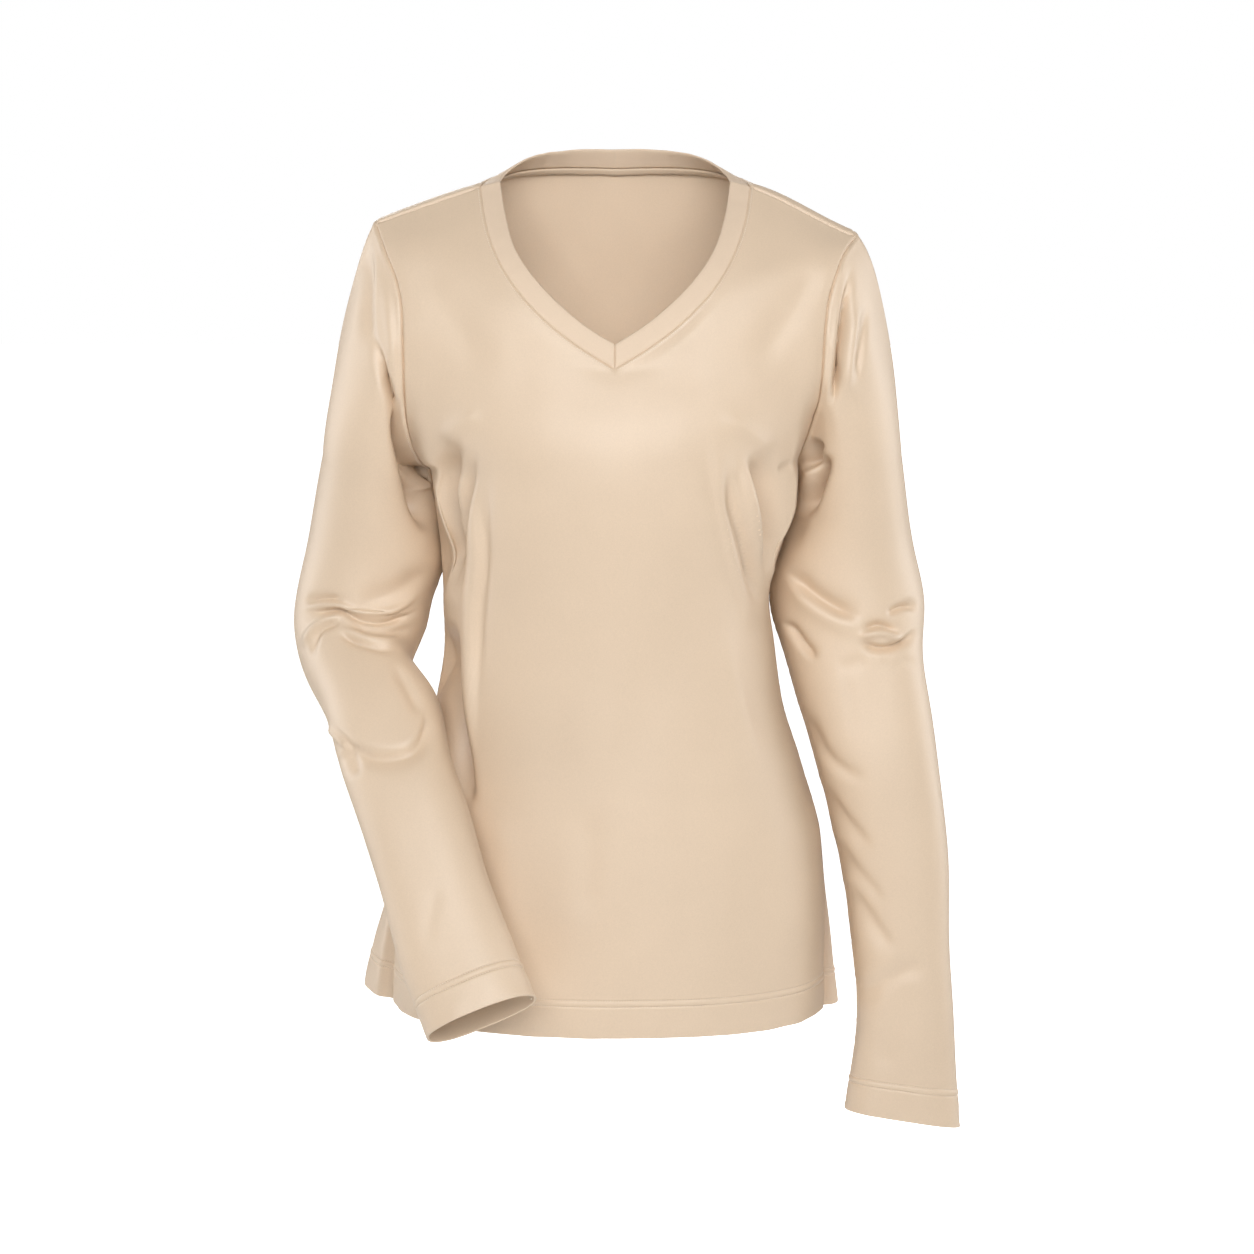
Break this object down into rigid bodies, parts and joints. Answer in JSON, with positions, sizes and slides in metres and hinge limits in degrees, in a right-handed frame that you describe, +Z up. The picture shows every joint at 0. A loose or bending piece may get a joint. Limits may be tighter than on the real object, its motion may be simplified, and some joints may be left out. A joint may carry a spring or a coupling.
{
  "type": "long-sleeve v-neck shirt",
  "caption": "Long-sleeve V-neck knit shirt, fitted at the waist and flared at the hem, filled out with no wearer.",
  "frame": {"origin": "middle of the neck, at the level of the neck sides on the shoulder seams, where a wearer's shoulders hold the shirt up", "axes": "+Z up, the front of the shirt faces -Y, +X to the right as seen from the front"},
  "size_m": [0.5231, 0.329, 0.7599],
  "materials": {
    "front_cloth": "smooth satin knit",
    "back_cloth": "smooth satin knit",
    "sleeve_left_cloth": "smooth satin knit",
    "sleeve_right_cloth": "smooth satin knit",
    "neckband_cloth": "smooth satin knit, folded double"
  },
  "bodies": {
    "root": {"front": "front_cloth", "back": "back_cloth", "sleeve_left": "sleeve_left_cloth", "sleeve_right": "sleeve_right_cloth", "neckband": "neckband_cloth"}
  },
  "joints": []
}
